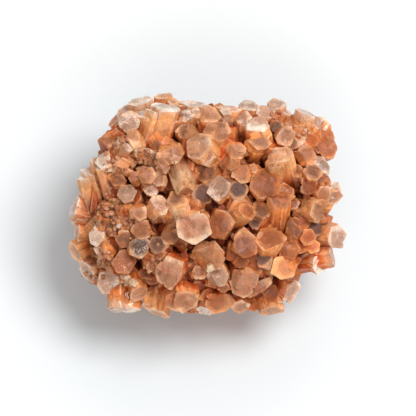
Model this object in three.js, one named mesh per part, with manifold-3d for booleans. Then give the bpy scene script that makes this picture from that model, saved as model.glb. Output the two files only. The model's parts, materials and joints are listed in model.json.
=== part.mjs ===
// Aragonite sputnik cluster: six-sided crystals grown outwards from one root, joined in one solid.
// Millimetres, +Z up. The crystals are laid out in a frame that faces the cluster's best side
// (x across, y up that side, z out of it), and the whole is then leaned back onto its feet.
import * as THREE from 'three';
import * as BufferGeometryUtils from 'three/addons/utils/BufferGeometryUtils.js';
import Module from 'manifold-3d';

// Driving dimensions
const halfSize = new THREE.Vector3(31.5, 25.6, 20.4); // reach of the crystal caps from the centre
const backDepth = 20.2; // the same, straight back
const outlineSquareness = 2.15; // 2 is an ellipse, more is boxier
const profileFullness = 2.6; // the same, for the height over that outline
const rimHeight = 0.04; // keeps the crystals past the rim level with it
const rootShare = 0.87; // the root that all crystals grow from, as a share of the reach
const rootFineness = 2;
const crystalLength = 12;
const capFullness = 1.08; // caps crowd their neighbours
const cornerWander = 0.09; // how far a cap's corner strays, as a share of its radius
const cornerTurn = 0.12; // and round the cap, in radians
const leanBack = 20; // degrees from the best side facing up
const restHeight = 21.8; // the centre above the ground
const middle = { x: 0.19, y: -1.51 }; // of the whole outline, which goes over the origin

// The best side: [x, y, width, height, spin in degrees, lean x, lean y, rise]
// x, y, width and height of the cap; lean is the crystal's direction, rise is how proud it stands.
const topEdge = [
  [-16.1, 24.6, 5.4, 5.4, 10, -0.3, 0.84, 0],
  [-10.6, 26.0, 3.6, 3.4, 0, 0, 0.88, 0.4],
  [-7.7, 24.4, 3.4, 3.4, 20, 0.1, 0.86, 0],
  [-5.6, 23.4, 3.4, 3.2, 0, 0.1, 0.82, 0],
  [-2.9, 23.7, 5.8, 3.4, 0, 0.1, 0.9, -0.5],
  [-5.0, 21.4, 4.2, 4.0, 30, 0.12, 0.7, 0],
  [0.5, 21.5, 5.2, 4.6, 0, 0.05, 0.7, 0.3],
  [4.6, 22.5, 2.8, 2.6, 0, 0, 0.82, 0],
  [5.4, 22.9, 5.2, 3.0, 0, 0, 0.9, -0.8],
  [10.1, 24.2, 4.6, 4.4, 0, 0, 0.95, 0],
  [13.6, 22.4, 3.4, 3.4, 15, 0.2, 0.6, -0.5],
  [16.4, 24.2, 3.8, 4.2, 0, 0.08, 0.86, 0.6],
  [23.0, 22.2, 3.2, 4.2, 10, 0.1, 0.9, 0.6],
  [27.0, 20.2, 4.0, 3.6, 20, 0.4, 0.72, 0],
  [28.2, 17.4, 4.0, 4.4, 0, 0.6, 0.42, 0],
];
const upperBand = [
  [-10.4, 22.7, 7.0, 7.0, 0, 0.1, 0.96, 1.5],
  [-14.5, 21.4, 3.8, 4.0, 0, -0.1, 0.88, 0.2],
  [-22.0, 20.3, 4.0, 4.6, 0, -0.82, 0.38, 0],
  [-18.2, 20.0, 4.0, 4.2, 25, -0.5, 0.55, 0],
  [-16.8, 16.4, 4.2, 5.0, 15, -0.1, 0.12, 0.5],
  [-8.4, 12.5, 5.8, 5.0, 0, 0, 0.22, 1.4],
  [-2.2, 13.6, 5.2, 6.4, -20, -0.35, 0.3, 1.6],
  [-4.6, 17.6, 4.4, 3.4, 0, 0, 0.35, -0.6],
  [2.4, 17.4, 6.4, 5.6, 0, 0.1, 0.4, 0.8],
  [7.0, 13.0, 4.4, 4.0, 0, 0.1, 0.22, 0],
  [11.5, 19.1, 6.2, 5.0, -15, -0.2, 0.7, 0],
  [13.0, 15.0, 5.2, 4.4, 0, 0.35, 0.38, 0.6],
  [5.8, 10.4, 4.4, 4.4, 30, -0.1, 0.12, 0.3],
  [18.5, 16.4, 4.2, 4.6, 0, 0, 0.22, 0.3],
  [20.2, 14.6, 3.0, 3.0, 30, 0.2, 0.2, -0.8],
  [24.5, 15.5, 3.8, 3.6, 20, 0.3, 0.3, 0],
  [23.6, 11.9, 4.0, 4.8, 0, 0.2, 0.12, 0.2],
  [17.8, 11.8, 6.6, 6.2, 0, -0.05, 0.62, 1.2],
  [29.0, 13.6, 5.0, 5.6, 0, 0.35, 0.12, 0.6],
  [27.8, 8.8, 4.6, 5.4, 10, 0.6, 0.1, 0],
  [25.2, 7.8, 4.0, 4.2, 0, 0.12, 0.35, 0],
  [21.7, 8.3, 2.8, 3.4, 0, 0.1, 0.4, -0.8],
];
const middleRight = [
  [13.4, 4.6, 7.4, 7.2, 15, 0, 0.1, 0.8],
  [8.2, 7.4, 4.2, 4.2, 20, -0.1, 0.15, 0.3],
  [7.4, 3.2, 4.4, 4.6, 0, 0, 0, 0],
  [2.6, 3.8, 5.4, 5.4, 25, -0.15, 0.25, 0.5],
  [-1.0, 2.4, 4.4, 5.0, 0, 0, 0, -0.8],
  [-0.2, 7.7, 4.8, 4.4, 30, 0.2, 0.3, 0],
  [20.0, 3.2, 3.8, 3.2, -30, 0.1, 0.1, 0],
  [20.4, 0.2, 2.8, 2.8, 0, 0, 0, 0],
  [17.0, 2.0, 4.4, 4.6, 0, 0.05, 0.78, 0.8],
  [27.8, 2.6, 3.0, 3.4, 0, 0.45, 0, -0.3],
  [30.7, 1.1, 3.6, 4.2, 0, 0.6, -0.35, 0],
  [30.8, 3.7, 3.8, 4.0, 0, 0.82, 0.15, 0],
  [27.2, -1.6, 4.8, 5.2, 0, 0.6, 0.05, 0.6],
  [20.6, -5.5, 4.0, 5.8, -25, 0.32, 0.08, 0.4],
  [25.7, -5.6, 3.2, 3.2, 30, 0.2, 0.2, -2],
  [32.0, -7.3, 6.0, 6.4, 0, 0.85, -0.1, 0.5],
  [9.6, -1.4, 4.4, 4.0, 0, 0.3, 0.1, 0],
  [13.0, -1.2, 3.2, 4.8, 30, 0, 0, 0],
  [15.1, -8.3, 6.6, 5.8, 10, -0.02, 0.08, 0.6],
  [19.6, -10.4, 4.4, 4.8, 0, 0.1, 0, 0],
  [24.2, -7.8, 3.4, 3.4, 0, 0.3, 0.05, -0.6],
  [30.4, -12.3, 4.4, 4.6, 0, 0.85, -0.12, 0],
];
const middleLeft = [
  [-25.6, 14.6, 5.4, 6.4, 0, -0.9, 0.35, 0.3],
  [-26.7, 8.0, 5.0, 6.4, 0, -0.93, 0.12, 0],
  [-30.4, 4.9, 5.0, 6.8, 30, -0.96, 0, 0.4],
  [-27.6, 5.5, 4.4, 5.2, 0, -0.9, 0.05, -1],
  [-24.4, 10.2, 3.6, 3.4, 10, -0.5, 0.2, 0],
  [-21.6, 11.2, 3.0, 3.0, 0, -0.4, -0.2, 0],
  [-13.2, 11.0, 2.8, 2.8, 30, 0, 0.3, 0],
  [-14.2, 7.1, 4.4, 4.0, 0, 0, 0.12, 0],
  [-16.6, 6.2, 3.0, 3.0, 10, -0.2, 0.1, -0.2],
  [-11.3, 6.2, 3.4, 3.4, 0, -0.1, 0.3, -0.6],
  [-10.3, 8.9, 3.0, 2.8, 0, 0, 0.3, 0],
  [-21.2, 5.9, 3.6, 2.8, 0, -0.25, 0.2, 0],
  [-22.8, 2.8, 4.0, 3.2, 0, -0.3, 0.1, 0],
  [-18.8, 2.6, 4.3, 4.2, 10, -0.05, 0.05, 0.8],
  [-5.0, 3.9, 6.2, 5.2, 0, 0.16, -0.76, 0.9],
  [-11.5, -0.2, 5.0, 4.8, 10, -0.08, 0.28, 0.6],
  [-7.2, 1.5, 4.4, 5.0, 0, -0.05, 0.86, 1],
  [-16.3, -1.6, 4.6, 4.6, 30, 0, 0.1, 0.3],
  [-13.2, 3.6, 3.0, 3.0, 0, -0.1, 0, -0.8],
  [-32.0, -0.7, 5.2, 5.8, 0, -0.87, 0.3, 0.4],
  [-31.2, -6.4, 4.4, 4.6, 20, -0.92, -0.08, 0],
  [-32.0, -11.3, 4.6, 5.4, 0, -0.78, -0.35, 0.3],
  [-26.4, -7.6, 3.2, 4.2, -25, -0.35, 0.2, 0.3],
  [-23.0, -4.2, 4.8, 5.2, 0, -0.2, 0.15, 0],
  [-24.5, -10.4, 3.8, 4.0, 0, -0.25, 0, 0],
  [-15.6, -6.1, 5.0, 4.6, 0, 0, 0.15, 0],
  [-19.4, -8.3, 3.8, 3.8, 0, -0.1, -0.1, 0],
  [-15.8, -10.0, 4.4, 4.4, 30, 0.1, 0, 0.4],
];
const middleFront = [
  [-3.2, -5.4, 8.6, 9.0, 30, 0.04, -0.05, 2.2],
  [3.8, -4.8, 6.6, 6.4, 0, 0.06, 0, 0.9],
  [-8.9, -7.1, 4.4, 5.0, 0, -0.1, 0.1, -0.8],
  [-11.5, -9.5, 4.0, 3.6, 0, -0.1, -0.1, -0.8],
  [0.4, -11.5, 7.8, 6.2, -5, 0, 0.08, 1],
  [9.0, -9.3, 5.8, 6.6, 20, 0.05, 0, 0.6],
  [8.2, -13.8, 3.2, 2.8, 0, 0, -0.1, -1],
  [13.4, -12.6, 4.0, 5.2, 0, 0, 0, -1.6],
  [18.2, -15.2, 5.2, 5.6, 15, 0.1, -0.12, 0.8],
  [21.9, -16.2, 3.0, 3.6, 0, 0.42, -0.3, 0],
];
const lowerBand = [
  [-19.4, -13.6, 5.6, 5.6, 0, -0.05, -0.05, 0.9],
  [-28.2, -15.8, 5.2, 5.8, 0, -0.55, -0.35, 0],
  [-23.3, -18.4, 5.2, 5.2, 10, -0.35, -0.42, 0.6],
  [-16.3, -21.7, 4.6, 4.8, 20, 0.05, -0.3, 0],
  [-19.9, -25.2, 7.0, 6.0, 0, -0.05, -0.95, 0.5],
  [-11.0, -26.2, 6.2, 6.0, 0, 0, -0.94, 0.5],
  [-9.0, -16.3, 6.0, 6.8, -15, -0.3, -0.35, 1.2],
  [-4.8, -23.2, 6.4, 6.4, 15, -0.05, -0.45, 0.8],
  [-9.6, -21.8, 3.2, 3.0, 0, 0, -0.2, -1],
  [2.4, -17.3, 5.2, 5.6, 0, 0.05, -0.12, 0.3],
  [-1.9, -16.2, 3.4, 3.2, 0, 0, -0.1, -0.8],
  [8.8, -17.8, 6.2, 6.4, 25, 0.05, -0.15, 0.7],
  [2.8, -23.6, 6.4, 5.2, 0, 0.05, -0.4, 0.2],
  [-0.6, -25.4, 3.8, 3.6, 0, 0, -0.8, 0],
  [7.9, -24.4, 4.0, 4.0, 20, 0.1, -0.6, 0],
  [12.5, -19.8, 2.4, 6.4, -55, 0, -0.2, -0.8],
  [15.2, -21.1, 3.4, 3.4, 0, 0.1, -0.15, -0.4],
  [20.4, -20.4, 5.2, 5.6, 0, 0.6, -0.48, 0.4],
  [15.6, -24.6, 5.2, 5.0, 15, 0.3, -0.8, 0.2],
  [26.9, -14.9, 3.4, 3.4, 0, 0.5, -0.5, 0],
  [-14.6, -16.6, 3.4, 3.4, 0, -0.1, -0.1, -1],
  [-12.8, -13.2, 3.2, 3.2, 20, -0.1, -0.1, -1],
];

// The sides and the back, which follow a rule: even directions, each one nudged
const allRound = 126; // directions over the whole ball; those on the best side are left out
const sideLimit = -0.05; // how far round to the best side they reach, 0 is the rim
const restLimit = 0.975; // how close to straight down they come, where the feet stand
const sideWidth = { least: 4.4, most: 7.6 };
const sideRise = { least: -2.2, most: -0.2 };
const sideLean = 0.26; // stray from the straight outward direction
const restZone = 0.72; // nearer than this to straight down, they stay clear of the ground
const restSink = 2;

// The feet: crystals that point straight down and end flush on the ground, [x, y, width, spin]
const feet = [
  [0, 0, 7.6, 0],
  [8.2, 3.4, 6.6, 20],
  [-7.4, 4.6, 6.8, 40],
  [1.2, 8.6, 6.0, 10],
  [5.4, -6.8, 6.4, 50],
  [-4.8, -7.4, 7.0, 5],
  [-12.6, -2.2, 5.4, 30],
  [13.4, -2.6, 5.6, 15],
];

const degrees = Math.PI / 180;
const goldenTurn = Math.PI * (3 - Math.sqrt(5));

// A repeatable number from 0 to 1 for crystal `index`, one for each `use`
function chance(index, use) {
  const value = Math.sin(index * 12.9898 + use * 78.233) * 43758.5453;
  return value - Math.floor(value);
}

function between(range, share) {
  return range.least + (range.most - range.least) * share;
}

// How far out x, y lies, from 0 at the centre to 1 on the outline
function outwardness(x, y) {
  const sum = Math.abs(x / halfSize.x) ** outlineSquareness + Math.abs(y / halfSize.y) ** outlineSquareness;
  return sum ** (1 / outlineSquareness);
}

// Distance from the centre to the sides and the back along a direction
function reachAlong(direction) {
  const flat = outwardness(direction.x, direction.y) ** profileFullness;
  const deep = Math.abs(direction.z / backDepth) ** profileFullness;
  return (flat + deep) ** (-1 / profileFullness);
}

// Height of the best side over the point x, y, held level past its rim
function surfaceHeight(x, y) {
  const left = 1 - outwardness(x, y) ** profileFullness;
  return halfSize.z * Math.max(left, rimHeight) ** (1 / profileFullness);
}

// Six corners of a cap, each a little off a regular hexagon
function capOutline(width, height, spin, index) {
  const corners = [];
  for (let side = 0; side < 6; side += 1) {
    const radius = 0.5 * capFullness * (1 + cornerWander * (2 * chance(index, side) - 1));
    const angle = side * 60 * degrees + cornerTurn * (2 * chance(index, side + 6) - 1);
    const corner = new THREE.Vector2(width * radius * Math.cos(angle), height * radius * Math.sin(angle));
    corners.push(corner.rotateAround(new THREE.Vector2(), spin * degrees));
  }
  return new THREE.Shape(corners);
}

// A prism whose cap is centred on `tip` and whose body runs back into the root
function crystal(tip, axis, width, height, spin, index) {
  const geometry = new THREE.ExtrudeGeometry(capOutline(width, height, spin, index), {
    depth: crystalLength,
    bevelEnabled: false,
  });
  geometry.translate(0, 0, -crystalLength);
  const across = new THREE.Vector3(1, 0, 0);
  across.addScaledVector(axis, -across.dot(axis)).normalize();
  const upward = new THREE.Vector3().crossVectors(axis, across);
  const place = new THREE.Matrix4().makeBasis(across, upward, axis).setPosition(tip);
  return geometry.applyMatrix4(place);
}

function bestSideCrystals() {
  const rows = [...topEdge, ...upperBand, ...middleRight, ...middleLeft, ...middleFront, ...lowerBand];
  return rows.map(([x, y, width, height, spin, leanX, leanY, rise], index) => {
    const axis = new THREE.Vector3(leanX, leanY, Math.sqrt(1 - leanX ** 2 - leanY ** 2));
    const tip = new THREE.Vector3(x, y, surfaceHeight(x, y) + rise);
    return crystal(tip, axis, width, height, spin, index);
  });
}

function sideCrystals(down) {
  const made = [];
  for (let index = 0; index < allRound; index += 1) {
    const out = 1 - (2 * index + 1) / allRound;
    const ring = Math.sqrt(1 - out ** 2);
    const turn = index * goldenTurn;
    const direction = new THREE.Vector3(ring * Math.cos(turn), ring * Math.sin(turn), out);
    const number = 1000 + index;
    const reach = reachAlong(direction);
    const towardsRest = direction.dot(down);
    const sink = towardsRest > restZone ? restSink : 0;
    const rise = between(sideRise, chance(number, 20)) - sink;
    const tip = direction.clone().multiplyScalar(reach + rise);
    const stray = new THREE.Vector3(chance(number, 21), chance(number, 22), chance(number, 23));
    const axis = tip.clone().divide(halfSize).normalize();
    axis.addScaledVector(stray.subScalar(0.5), 2 * sideLean).normalize();
    const width = between(sideWidth, chance(number, 24));
    const height = width * (0.86 + 0.28 * chance(number, 25));
    if (out < sideLimit && towardsRest < restLimit) {
      made.push(crystal(tip, axis, width, height, 60 * chance(number, 26), number));
    }
  }
  return made;
}

// The feet stand in the leaned frame, so they are turned back into the best side's frame
function footCrystals(lean) {
  const standUp = lean.clone().invert();
  const down = new THREE.Vector3(0, 0, -1).applyQuaternion(standUp);
  return feet.map(([x, y, width, spin], index) => {
    const tip = new THREE.Vector3(x, y, -restHeight).applyQuaternion(standUp);
    return crystal(tip, down, width, width, spin, 2000 + index);
  });
}

function rootBody() {
  const geometry = new THREE.IcosahedronGeometry(1, rootFineness);
  return geometry.scale(halfSize.x * rootShare, halfSize.y * rootShare, halfSize.z * rootShare);
}

const wasm = await Module();
wasm.setup();

function toSolid(geometry) {
  geometry.deleteAttribute('normal');
  geometry.deleteAttribute('uv');
  const merged = BufferGeometryUtils.mergeVertices(geometry, 1e-4);
  return new wasm.Manifold(new wasm.Mesh({
    numProp: 3,
    vertProperties: new Float32Array(merged.attributes.position.array),
    triVerts: new Uint32Array(merged.index.array),
  }));
}

function toGeometry(solid) {
  const mesh = solid.getMesh();
  const geometry = new THREE.BufferGeometry();
  geometry.setAttribute('position', new THREE.BufferAttribute(mesh.vertProperties, 3));
  geometry.setIndex(new THREE.BufferAttribute(mesh.triVerts, 1));
  return geometry;
}

const lean = new THREE.Quaternion().setFromAxisAngle(new THREE.Vector3(1, 0, 0), leanBack * degrees);
const down = new THREE.Vector3(0, 0, -1).applyQuaternion(lean.clone().invert());
const pieces = [rootBody(), ...bestSideCrystals(), ...sideCrystals(down), ...footCrystals(lean)];
const grown = pieces.map(toSolid).reduce((whole, next) => whole.add(next));

const geometry = toGeometry(grown);
geometry.applyQuaternion(lean).translate(-middle.x, -middle.y, restHeight);

const aragonite = new THREE.MeshStandardMaterial({ color: 0xc98a66, roughness: 0.45, metalness: 0 });
const crystalCluster = new THREE.Mesh(geometry, aragonite);
crystalCluster.name = 'crystal_cluster';

const cluster = new THREE.Group();
cluster.add(crystalCluster);

export default cluster;
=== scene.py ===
import json
import math

import bmesh
import bpy
from mathutils import Matrix, Vector, noise

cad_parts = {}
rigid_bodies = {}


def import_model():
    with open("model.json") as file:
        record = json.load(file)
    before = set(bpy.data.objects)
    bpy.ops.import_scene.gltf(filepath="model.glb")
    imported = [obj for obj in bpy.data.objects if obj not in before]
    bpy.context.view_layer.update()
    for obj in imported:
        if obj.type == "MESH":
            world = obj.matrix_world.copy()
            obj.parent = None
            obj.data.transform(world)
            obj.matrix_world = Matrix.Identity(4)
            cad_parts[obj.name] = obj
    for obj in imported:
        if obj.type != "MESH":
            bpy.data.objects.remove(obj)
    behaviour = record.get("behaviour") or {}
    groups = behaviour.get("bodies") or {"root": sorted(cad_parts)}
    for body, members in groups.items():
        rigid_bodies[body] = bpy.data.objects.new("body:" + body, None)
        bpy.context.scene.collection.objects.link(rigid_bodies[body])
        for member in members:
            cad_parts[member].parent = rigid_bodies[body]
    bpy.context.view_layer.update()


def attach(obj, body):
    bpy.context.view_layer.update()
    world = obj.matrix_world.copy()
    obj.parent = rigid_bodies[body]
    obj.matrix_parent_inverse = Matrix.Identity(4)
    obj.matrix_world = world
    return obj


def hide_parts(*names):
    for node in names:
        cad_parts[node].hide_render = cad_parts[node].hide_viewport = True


# Aragonite sputnik cluster: stubby six-sided crystals grown out of one root, in metres.
# The crystals are laid out in millimetres in a frame that faces the best side
# (x across, y up that side, z out of it), and the whole leans back onto its feet.
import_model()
millimetre = 0.001

cluster = {
    "halfSize": (31.5, 25.6, 20.4),  # reach of the caps from the centre
    "backDepth": 20.2,
    "outlineSquareness": 2.15,
    "profileFullness": 2.6,
    "rimHeight": 0.04,
    "capFullness": (1.25, 1.04),  # of small caps and of the largest; they crowd their neighbours
    "smallCap": 6,  # width and height together
    "capRange": 9,  # from there to the largest
    "cornerWander": 0.15,
    "cornerTurn": 0.19,
    "extraLean": 0.17,
    "crystalLength": 12,
    "leanBack": 20,  # degrees
    "restHeight": 21.8,  # the centre above the floor
    "middle": (0.19, -1.51),
    "rootShare": 0.82,
    "hollowDepth": 3.2,
    "rootLumps": 0.9,
    "rootLumpScale": 0.45,
}

# Each finish: colours as 0 to 255 of the cap's middle, its rim and the sides, then how frosted the cap is;
# the frost also brings painted highlights, pale patches on the cap and a paler rim.
# A crystal named "frost+fire" has the cap of the first and the sides of the second.
finishes = {
    "white": {"middle": (220, 186, 162), "rim": (242, 216, 196), "side": (240, 190, 148), "frost": 0.95},
    "frost": {"middle": (200, 152, 124), "rim": (228, 186, 158), "side": (224, 150, 96), "frost": 0.75},
    "blush": {"middle": (192, 134, 100), "rim": (220, 170, 134), "side": (214, 146, 96), "frost": 0.5},
    # the bright sides of "glow" are a painted glow, as if light shows through them
    "glow": {"middle": (206, 136, 94), "rim": (240, 160, 100), "side": (248, 170, 104), "frost": 0.25},
    "halo": {"middle": (198, 132, 96), "rim": (246, 204, 170), "side": (238, 150, 76), "frost": 0.3},
    "cream": {"middle": (208, 142, 98), "rim": (236, 178, 134), "side": (238, 152, 76), "frost": 0.35},
    "pink": {"middle": (182, 118, 80), "rim": (216, 152, 106), "side": (220, 130, 62), "frost": 0.3},
    "shiny": {"middle": (172, 102, 66), "rim": (214, 154, 114), "side": (208, 110, 42), "frost": 0.85},
    "peach": {"middle": (172, 98, 56), "rim": (208, 130, 76), "side": (222, 120, 46), "frost": 0.08},
    "amber": {"middle": (224, 138, 76), "rim": (244, 168, 104), "side": (224, 116, 36), "frost": 0.1},
    "orange": {"middle": (200, 106, 52), "rim": (226, 136, 76), "side": (218, 102, 26), "frost": 0.08},
    "fire": {"middle": (180, 84, 36), "rim": (212, 114, 60), "side": (202, 82, 14), "frost": 0.04},
    "mauve": {"middle": (146, 92, 62), "rim": (186, 122, 80), "side": (216, 120, 46), "frost": 0.08},
    "grey": {"middle": (122, 78, 56), "rim": (160, 112, 84), "side": (176, 94, 38), "frost": 0.1},
    "dusk": {"middle": (112, 74, 60), "rim": (124, 82, 64), "side": (152, 80, 38), "frost": 0.06},
    "gloss": {"middle": (106, 72, 54), "rim": (184, 144, 116), "side": (168, 88, 32), "frost": 0.95},
    "brown": {"middle": (152, 84, 48), "rim": (186, 112, 62), "side": (184, 84, 22), "frost": 0.06},
    "rough": {"middle": (178, 112, 78), "rim": (214, 154, 116), "side": (196, 108, 52), "frost": 0.45},
}
rootFinish = {"middle": (120, 44, 20), "rim": (150, 60, 30), "side": (120, 40, 16), "frost": 0.1}

# The best side, by band: x, y, width, height, spin, lean x, lean y, rise, finish
topEdge = [
    (-16.0, 24.8, 6.6, 5.6, 10, -0.3, 0.80, 0.8, "white"),
    (-10.6, 26.0, 3.6, 3.4, 0, 0, 0.88, 0.4, "cream+glow"),
    (-7.7, 24.4, 3.4, 3.4, 20, 0.1, 0.86, 0, "cream"),
    (-5.8, 24.1, 3.8, 3.4, 0, 0.1, 0.84, 0, "cream"),
    (-2.6, 23.9, 7.2, 3.6, 0, 0.1, 0.9, -0.3, "white"),
    (-5.0, 21.4, 4.2, 4.0, 30, 0.12, 0.7, 0, "frost"),
    (0.5, 21.5, 5.2, 4.6, 0, 0.05, 0.7, 0.3, "pink"),
    (4.6, 22.5, 2.8, 2.6, 0, 0, 0.82, 0, "white"),
    (5.4, 22.9, 5.2, 3.0, 0, 0, 0.9, -0.8, "frost"),
    (9.8, 23.7, 4.6, 4.4, 0, 0, 0.95, 0, "frost+orange"),
    (13.8, 22.2, 4.2, 4.0, 15, 0.2, 0.5, 1.0, "frost"),
    (16.7, 23.9, 3.8, 4.2, 0, 0.08, 0.86, 0.6, "frost+rough"),
    (23.6, 22.0, 4.8, 4.6, 10, 0.2, 0.86, 0.2, "white+glow"),
    (26.8, 19.6, 4.8, 4.2, 20, 0.45, 0.7, 0, "frost+glow"),
    (28.6, 17.0, 5.0, 5.0, 0, 0.6, 0.42, 0, "orange"),
]
upperBand = [
    (-9.9, 23.2, 7.2, 6.8, 0, 0.1, 0.95, 4.4, "white+glow"),
    (-14.6, 21.6, 5.0, 5.0, 15, 0.02, 0.93, 3.2, "frost+cream"),
    (-22.0, 20.3, 4.4, 5.0, 0, -0.7, 0.6, 0.6, "orange+glow"),
    (-18.4, 19.4, 5.2, 5.2, 25, -0.1, 0.45, 3.8, "frost"),
    (-17.0, 16.0, 4.0, 5.0, 15, -0.15, 0.7, 1.2, "cream+glow"),
    (-8.4, 12.5, 5.8, 5.0, 0, 0, 0.22, 1.4, "pink"),
    (-2.2, 13.8, 6.2, 7.0, -20, -0.3, 0.35, 2.0, "blush+glow"),
    (-4.6, 17.6, 4.8, 3.6, 0, 0, 0.45, -0.4, "mauve+glow"),
    (2.4, 17.6, 6.6, 6.0, 0, 0.1, 0.5, 1.4, "pink+glow"),
    (7.0, 13.0, 4.6, 4.2, 0, 0.1, 0.35, 0.2, "pink+glow"),
    (11.5, 19.4, 7.2, 6.4, -15, -0.12, 0.62, 0.8, "frost+glow"),
    (13.0, 15.2, 5.2, 4.6, 0, 0.25, 0.45, 1.0, "mauve+cream"),
    (5.8, 10.4, 4.4, 4.4, 30, -0.1, 0.12, 0.3, "pink+mauve"),
    (18.5, 16.4, 4.4, 4.6, 0, 0, 0.3, 0.3, "pink+peach"),
    (20.2, 14.6, 3.0, 3.0, 30, 0.2, 0.2, -0.8, "grey"),
    (24.5, 15.5, 3.8, 3.6, 20, 0.3, 0.3, 0, "orange"),
    (23.6, 11.9, 4.0, 4.8, 0, 0.2, 0.12, 0.2, "peach"),
    (17.4, 12.0, 6.0, 5.6, 0, -0.05, 0.55, 1.8, "cream+glow"),
    (28.6, 13.6, 5.0, 5.6, 0, 0.4, 0.12, 0.6, "peach"),
    (27.4, 9.6, 4.8, 4.8, 10, 0.75, 0.3, 0.4, "frost+glow"),
    (25.2, 7.8, 4.2, 4.4, 0, 0.12, 0.4, 0.2, "mauve+peach"),
    (21.7, 8.3, 2.8, 3.4, 0, 0.1, 0.4, -1.6, "brown"),
]
middleRight = [
    (13.4, 4.6, 7.6, 7.4, 15, 0, 0.16, 0.8, "brown+peach"),
    (8.2, 7.4, 4.2, 4.2, 20, -0.1, 0.15, 0.3, "pink+peach"),
    (7.4, 3.2, 4.4, 4.6, 0, 0, 0, 0, "dusk+peach"),
    (2.6, 3.8, 5.6, 5.6, 25, -0.15, 0.25, 0.5, "frost+pink"),
    (-1.0, 2.4, 4.6, 5.0, 0, 0, 0, -0.5, "dusk"),
    (-0.2, 7.7, 4.8, 4.4, 30, 0.2, 0.3, 0, "mauve"),
    (18.9, 3.3, 4.4, 3.4, -30, 0.3, 0.3, 0.4, "peach+glow"),
    (20.4, 0.2, 2.8, 2.8, 0, 0, 0, 0, "brown"),
    (17.0, 2.0, 5.0, 4.8, 0, 0.05, 0.8, 1.6, "brown+peach"),
    (27.8, 2.6, 3.4, 3.6, 0, 0.45, 0, 0, "pink+mauve"),
    (30.5, 1.6, 3.8, 4.0, 0, 0.6, -0.35, 0.2, "blush"),
    (30.8, 3.2, 4.2, 4.0, 0, 0.82, 0.15, 1.2, "white+cream"),
    (26.7, -1.8, 5.0, 5.2, 0, 0.72, 0.05, 1.6, "pink+glow"),
    (20.6, -5.5, 4.0, 5.8, -25, 0.32, 0.08, 0.4, "brown+peach"),
    (25.7, -5.6, 3.2, 3.2, 30, 0.2, 0.2, -2, "dusk"),
    (31.2, -7.8, 6.0, 6.2, 0, 0.8, -0.1, 0.8, "frost"),
    (9.6, -1.4, 4.8, 4.4, 0, 0.45, 0.4, 0.3, "peach+pink"),
    (13.0, -1.2, 3.2, 4.8, 30, 0, 0, 0, "mauve"),
    (15.1, -8.3, 6.8, 6.2, 10, -0.02, 0.12, 0.6, "peach"),
    (19.6, -10.4, 4.6, 4.8, 0, 0.1, 0, 0, "peach"),
    (24.2, -7.8, 3.6, 3.6, 0, 0.3, 0.05, -0.4, "orange"),
    (30.0, -12.2, 4.4, 4.8, 0, 0.9, 0.1, 1.2, "frost+fire"),
]
middleLeft = [
    (-24.2, 12.9, 5.2, 5.2, 0, -0.85, -0.42, 1.8, "fire+brown"),
    (-25.4, 9.6, 2.6, 5.0, 0, -0.15, 0.95, 1.4, "frost"),
    (-27.8, 8.0, 3.6, 5.0, 30, -0.2, 0.93, 0.6, "white+glow"),
    (-27.6, 5.5, 4.4, 5.2, 0, -0.9, 0.05, -1, "peach"),
    (-24.4, 10.4, 4.0, 3.8, 10, -0.45, 0.2, 2.8, "white+cream"),
    (-19.2, 14.4, 4.0, 4.0, 0, 0.45, 0.7, 2.0, "frost+brown"),
    (-13.2, 11.0, 2.8, 2.8, 30, 0, 0.3, 0, "rough"),
    (-14.2, 7.1, 4.4, 4.0, 0, 0, 0.12, 0, "pink"),
    (-16.6, 6.2, 3.0, 3.0, 10, -0.2, 0.1, -0.2, "peach"),
    (-11.3, 6.2, 3.4, 3.4, 0, -0.1, 0.3, -0.6, "blush"),
    (-10.3, 8.9, 3.0, 2.8, 0, 0, 0.3, 0, "rough"),
    (-21.2, 5.9, 3.6, 2.8, 0, -0.25, 0.2, 0, "mauve"),
    (-22.8, 2.8, 4.0, 3.2, 0, -0.3, 0.1, -2.0, "fire"),
    (-18.8, 2.6, 4.3, 4.2, 10, -0.05, 0.05, 0.8, "frost+pink"),
    (-4.4, 3.2, 4.8, 5.0, 0, 0.4, -0.8, 0.8, "brown+white"),
    (-11.5, -0.2, 5.6, 5.2, 10, -0.08, 0.35, 1.0, "blush"),
    (-7.2, 1.5, 4.4, 5.0, 0, -0.05, 0.86, 1, "mauve+white"),
    (-16.3, -1.6, 4.6, 4.6, 30, 0, 0.1, 0.3, "pink"),
    (-13.2, 3.6, 3.0, 3.0, 0, -0.1, 0, -0.8, "blush"),
    (-31.8, -0.6, 6.0, 6.2, 0, -0.95, 0.2, 1.6, "frost+brown"),
    (-31.2, -6.2, 5.2, 5.0, 20, -0.92, -0.08, 0.6, "cream+pink"),
    (-31.8, -11.2, 4.8, 5.4, 0, -0.8, -0.35, 0.6, "cream+peach"),
    (-26.4, -7.6, 3.6, 4.8, -25, -0.35, 0.2, 2.2, "white+frost"),
    (-23.0, -4.2, 4.8, 5.2, 0, -0.2, 0.15, 0, "mauve"),
    (-24.5, -10.4, 4.0, 4.0, 0, -0.25, 0, 0.8, "frost+rough"),
    (-15.6, -6.1, 5.0, 4.6, 0, 0, 0.15, 0, "pink+brown"),
    (-19.4, -8.3, 3.8, 3.8, 0, -0.1, -0.1, 0, "mauve"),
    (-15.8, -10.0, 4.6, 4.6, 30, 0.1, 0, 0.6, "gloss"),
]
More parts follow.
